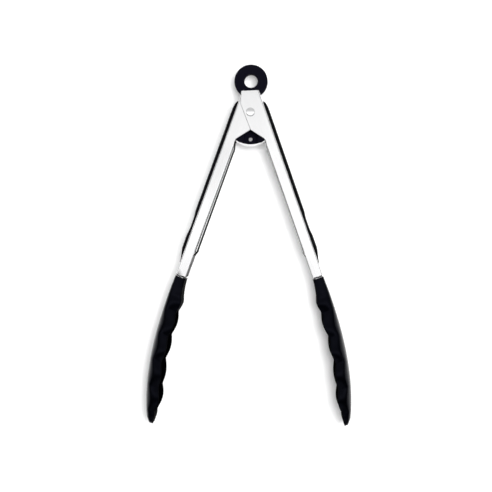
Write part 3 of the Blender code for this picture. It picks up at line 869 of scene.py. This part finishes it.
def painted_shade_steel(name, side, tone):
    """Grey steel whose dark tone is painted shade: inside the channel, and partly on the sheared
    edges, with streaks.
    """
    material, tree, shader = new_material(name, (tone, tone, tone), 0.5, 1.0)
    streaks = noise_on(tree, (1.0, 0.06, 1.0), 1400.0, 3.0, side * SPLAY)
    low, high = 0.75 * tone, 1.25 * tone
    tint(tree, streaks, (low, low, low), (high, high, high), shader.inputs["Base Color"])
    vary(tree, streaks, 0.45, 0.58, shader.inputs["Roughness"])
    bump(tree, shader, streaks, 0.006, 0.5)
    return material


def bright_steel():
    """Polished spring steel and the turned rivet."""
    material, tree, shader = new_material("bright_steel", (0.95, 0.95, 0.955), 0.16, 1.0)
    lines = noise_on(tree, (1.0, 1.0, 0.05), 2600.0, 3.0)
    vary(tree, lines, 0.1, 0.22, shader.inputs["Roughness"])
    bump(tree, shader, lines, 0.003, 0.4)
    return material


def moulded(name, colour, deep, roughness, grain, scale, sheen, gloss=(1.0, 1.0, 1.0)):
    """A black moulding: fine grain, soft clouds in its gloss and a hair of colour change."""
    material, tree, shader = new_material(name, colour, roughness)
    shader.inputs["Specular IOR Level"].default_value = sheen
    shader.inputs["Specular Tint"].default_value = (*gloss, 1.0)
    fine = noise_on(tree, (1.0, 1.0, 1.0), scale, 3.0)
    clouds = noise_on(tree, (1.0, 1.0, 1.0), 90.0, 2.0)
    tint(tree, clouds, deep, colour, shader.inputs["Base Color"])
    vary(tree, clouds, roughness - 0.05, roughness + 0.06, shader.inputs["Roughness"])
    bump(tree, shader, fine, grain, 0.5)
    return material


def worn_washer():
    material, tree, shader = new_material("washer_steel", (0.82, 0.82, 0.83), 0.35, 1.0)
    swirl = noise_on(tree, (1.0, 1.0, 0.2), 1800.0, 3.0)
    vary(tree, swirl, 0.28, 0.44, shader.inputs["Roughness"])
    bump(tree, shader, swirl, 0.004, 0.5)
    return material


def pale_sleeve():
    material, tree, shader = new_material("sleeve_acetal", (0.6, 0.6, 0.58), 0.45)
    clouds = noise_on(tree, (1.0, 1.0, 1.0), 400.0, 2.0)
    tint(tree, clouds, (0.55, 0.55, 0.53), (0.63, 0.63, 0.61), shader.inputs["Base Color"])
    bump(tree, shader, clouds, 0.01, 0.4)
    return material


def dress_cad_node(node, material):
    thing = frame["nodes"][node]
    thing.data.materials.clear()
    thing.data.materials.append(material)


# Stage


def make_floor():
    bm = bmesh.new()
    bmesh.ops.create_grid(bm, x_segments=1, y_segments=1, size=3.0)
    floor = make_object("floor", bm, Matrix.Identity(4))
    material, _, shader = new_material("floor_white", (0.95, 0.95, 0.95), 0.7)
    shader.inputs["Specular IOR Level"].default_value = 0.2
    floor.data.materials.append(material)


def map_range(tree, source, before, after, interpolation="SMOOTHSTEP"):
    node = tree.nodes.new("ShaderNodeMapRange")
    node.interpolation_type = interpolation
    node.inputs["From Min"].default_value = before[0]
    node.inputs["From Max"].default_value = before[1]
    node.inputs["To Min"].default_value = after[0]
    node.inputs["To Max"].default_value = after[1]
    tree.links.new(source, node.inputs["Value"])
    return node.outputs["Result"]


def multiply(tree, first, second):
    node = tree.nodes.new("ShaderNodeMath")
    node.operation = "MULTIPLY"
    tree.links.new(first, node.inputs[0])
    tree.links.new(second, node.inputs[1])
    return node.outputs["Value"]


def strip_flags(tree, along):
    """Two dark flags beside the soft box overhead, one past the tips and one past the ring."""
    place = map_range(tree, along, (-1.0, 1.0), (0.0, 1.0), "LINEAR")
    ramp = tree.nodes.new("ShaderNodeValToRGB")
    ramp.color_ramp.interpolation = "B_SPLINE"
    stops = ramp.color_ramp.elements
    while len(stops) < len(LIGHT_ALONG_Y):
        stops.new(0.5)
    for stop, (y, light) in zip(stops, LIGHT_ALONG_Y):
        stop.position = (y + 1.0) / 2
        stop.color = (light, light, light, 1.0)
    tree.links.new(place, ramp.inputs["Fac"])
    return ramp.outputs["Color"]


def make_world():
    """A wide soft box overhead that fades to the horizon, with a dark flag at either end."""
    world = bpy.data.worlds.new("studio")
    bpy.context.scene.world = world
    world.use_nodes = True
    tree = world.node_tree
    place = tree.nodes.new("ShaderNodeTexCoord")
    split = tree.nodes.new("ShaderNodeSeparateXYZ")
    tree.links.new(place.outputs["Generated"], split.inputs["Vector"])
    height = map_range(tree, split.outputs["Z"], LIGHT_HEIGHT, LIGHT_STRENGTH)
    flags = strip_flags(tree, split.outputs["Y"])
    product = multiply(tree, height, flags)
    background = tree.nodes["Background"]
    background.inputs["Color"].default_value = (1.0, 1.0, 1.0, 1.0)
    tree.links.new(product, background.inputs["Strength"])


def make_light(name, place, size, power_w):
    """A round soft light aimed at the origin. It is left out of reflections, which see the world."""
    data = bpy.data.lights.new(name, "AREA")
    data.shape = "DISK"
    data.size = size
    data.energy = power_w
    light = bpy.data.objects.new(name, data)
    bpy.context.scene.collection.objects.link(light)
    light.location = place
    light.visible_glossy = False
    light.rotation_euler = (Vector() - Vector(place)).to_track_quat("-Z", "Y").to_euler()


def make_camera():
    """Above the tongs and a little to the right of them, looking almost straight down."""
    place = Vector(CAMERA_PLACE)
    data = bpy.data.cameras.new("camera")
    data.sensor_width = SENSOR_WIDTH
    data.lens = CAMERA_LENS
    camera = bpy.data.objects.new("camera", data)
    bpy.context.scene.collection.objects.link(camera)
    back = (place - Vector(CAMERA_AIM)).normalized()
    right = Vector((0.0, 1.0, 0.0)).cross(back).normalized()
    up = back.cross(right)
    turn = Matrix((right, up, back)).transposed().to_4x4()
    camera.matrix_world = Matrix.Translation(place) @ turn @ Matrix.Rotation(CAMERA_ROLL, 4, "Z")
    bpy.context.scene.camera = camera


def build():
    bright = bright_steel()
    rubber = moulded(
        "grip_rubber_black", (0.0035, 0.0035, 0.0042), (0.0028, 0.0028, 0.0035),
        roughness=0.6, grain=0.03, scale=2400.0, sheen=0.04,
    )
    nylon = moulded(
        "head_nylon_black", (0.0003, 0.0004, 0.0009), (0.0002, 0.0003, 0.0007),
        roughness=0.22, grain=0.012, scale=1800.0, sheen=0.09, gloss=NYLON_GLOSS,
    )
    # A shaded copy of the nylon for the scoop's hollow: painted shade, on a matte surface.
    scoop = moulded(
        "scoop_matte_painted_shade", (0.0003, 0.0003, 0.0005), (0.0002, 0.0002, 0.0004),
        roughness=0.7, grain=0.03, scale=1500.0, sheen=0.006,
    )
    plastic = moulded(
        "tab_plastic_black", (0.0032, 0.003, 0.0068), (0.0027, 0.0026, 0.006),
        roughness=0.5, grain=0.012, scale=2000.0, sheen=0.045,
    )
    for name, side in SIDES.items():
        # Painted shade: the channel's inside is painted near black, and the sheared edges and open
        # inside a middle grey.
        inside = painted_shade_steel(f"mill_stainless_{name}", side, PAINTED_SHADE_INSIDE_TONE)
        edges = painted_shade_steel(f"sheared_edge_{name}", side, SHEARED_AND_PAINTED_SHADE_TONE)
        make_arm(name, side, (brushed_steel(name, side), inside, edges))
        make_grip(name, side, rubber)
        make_head(name, side, (nylon, scoop))
        make_spring_half(name, side, bright)
    make_rivet(bright)
    make_pull_tab(plastic)
    dress_cad_node("rivet_washer", worn_washer())
    dress_cad_node("pivot_bushing", pale_sleeve())
    make_floor()
    make_world()
    make_light("key", (0.21, 0.06, 1.3), size=0.5, power_w=17.0)
    make_light("fill", (0.0, 0.0, 1.4), size=2.2, power_w=1.5)
    make_camera()
    bpy.context.scene.view_settings.view_transform = "Standard"


build()
